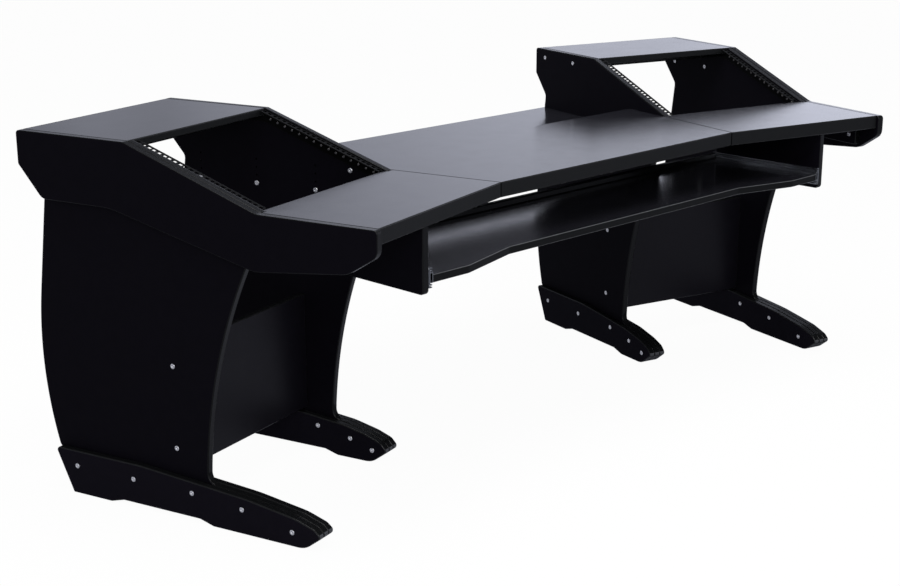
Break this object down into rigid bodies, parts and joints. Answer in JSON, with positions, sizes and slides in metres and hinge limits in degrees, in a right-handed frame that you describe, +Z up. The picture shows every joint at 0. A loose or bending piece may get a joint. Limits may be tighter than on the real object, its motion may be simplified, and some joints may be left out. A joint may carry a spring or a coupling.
{
  "type": "studio desk",
  "caption": "Wide studio desk with splayed end pedestals, sloped rack bays under raised shelves, a recessed console shelf and a keyboard tray on ball slides.",
  "frame": {"origin": "centre of the overall box, on the floor", "axes": "+X to the user's right along the desk, +Y away from the user, +Z up"},
  "size_m": [2.432, 1.067, 0.858],
  "materials": {
    "board_laminate": "matte black laminate on dense board",
    "top_laminate": "satin black laminate with a soft sheen",
    "tray_laminate": "glossy black laminate",
    "rail_steel": "fine black powder coat",
    "slide_steel": "bright zinc-plated rolled steel",
    "bolt_steel": "nickel-plated, lightly polished"
  },
  "bodies": {
    "desk": {"left_inner_leg": "board_laminate", "left_outer_leg": "board_laminate", "left_cheek": "board_laminate", "left_top_shelf": "top_laminate", "left_shelf_battens": "board_laminate", "left_wing_top": "top_laminate", "left_wing_cleats": "board_laminate", "left_cross_panel": "board_laminate", "left_inner_foot_plate": "board_laminate", "left_inner_foot_bay_plate": "board_laminate", "left_outer_foot_bay_plate": "board_laminate", "left_outer_foot_plate": "board_laminate", "left_inner_rail": "rail_steel", "left_outer_rail": "rail_steel", "left_rail_screws": "bolt_steel", "left_foot_bolts": "bolt_steel", "left_panel_bolts": "bolt_steel", "left_tray_support": "board_laminate", "left_support_batten": "board_laminate", "left_slide_outer": "slide_steel", "right_inner_leg": "board_laminate", "right_outer_leg": "board_laminate", "right_cheek": "board_laminate", "right_top_shelf": "top_laminate", "right_shelf_battens": "board_laminate", "right_wing_top": "top_laminate", "right_wing_cleats": "board_laminate", "right_cross_panel": "board_laminate", "right_inner_foot_plate": "board_laminate", "right_inner_foot_bay_plate": "board_laminate", "right_outer_foot_bay_plate": "board_laminate", "right_outer_foot_plate": "board_laminate", "right_inner_rail": "rail_steel", "right_outer_rail": "rail_steel", "right_rail_screws": "bolt_steel", "right_foot_bolts": "bolt_steel", "right_panel_bolts": "bolt_steel", "right_tray_support": "board_laminate", "right_support_batten": "board_laminate", "right_slide_outer": "slide_steel", "centre_top": "top_laminate", "console_shelf": "top_laminate", "seam_plates": "slide_steel", "seam_screws": "bolt_steel", "slide_screws": "bolt_steel"},
    "tray": {"tray_panel": "tray_laminate", "tray_lip": "board_laminate", "left_slide_inner": "slide_steel", "right_slide_inner": "slide_steel", "tray_screws": "bolt_steel"},
    "slide_middles": {"left_slide_middle": "slide_steel", "right_slide_middle": "slide_steel"},
    "outer_cages": {"outer_ball_cages": "slide_steel"},
    "inner_cages": {"inner_ball_cages": "slide_steel"}
  },
  "joints": [
    {"name": "tray_slide", "type": "slide", "parent": "desk", "child": "tray", "axis": [0, -1, 0], "range_m": [0, 0.35]},
    {"name": "middle_slide", "type": "slide", "parent": "desk", "child": "slide_middles", "axis": [0, -1, 0], "range_m": [0, 0.175]},
    {"name": "outer_cage_roll", "type": "slide", "parent": "desk", "child": "outer_cages", "axis": [0, -1, 0], "range_m": [0, 0.0875]},
    {"name": "inner_cage_roll", "type": "slide", "parent": "desk", "child": "inner_cages", "axis": [0, -1, 0], "range_m": [0, 0.2625]}
  ],
  "couplings": [
    {"joint": "middle_slide", "follows": "tray_slide", "ratio": 0.5},
    {"joint": "outer_cage_roll", "follows": "tray_slide", "ratio": 0.25},
    {"joint": "inner_cage_roll", "follows": "tray_slide", "ratio": 0.75}
  ]
}
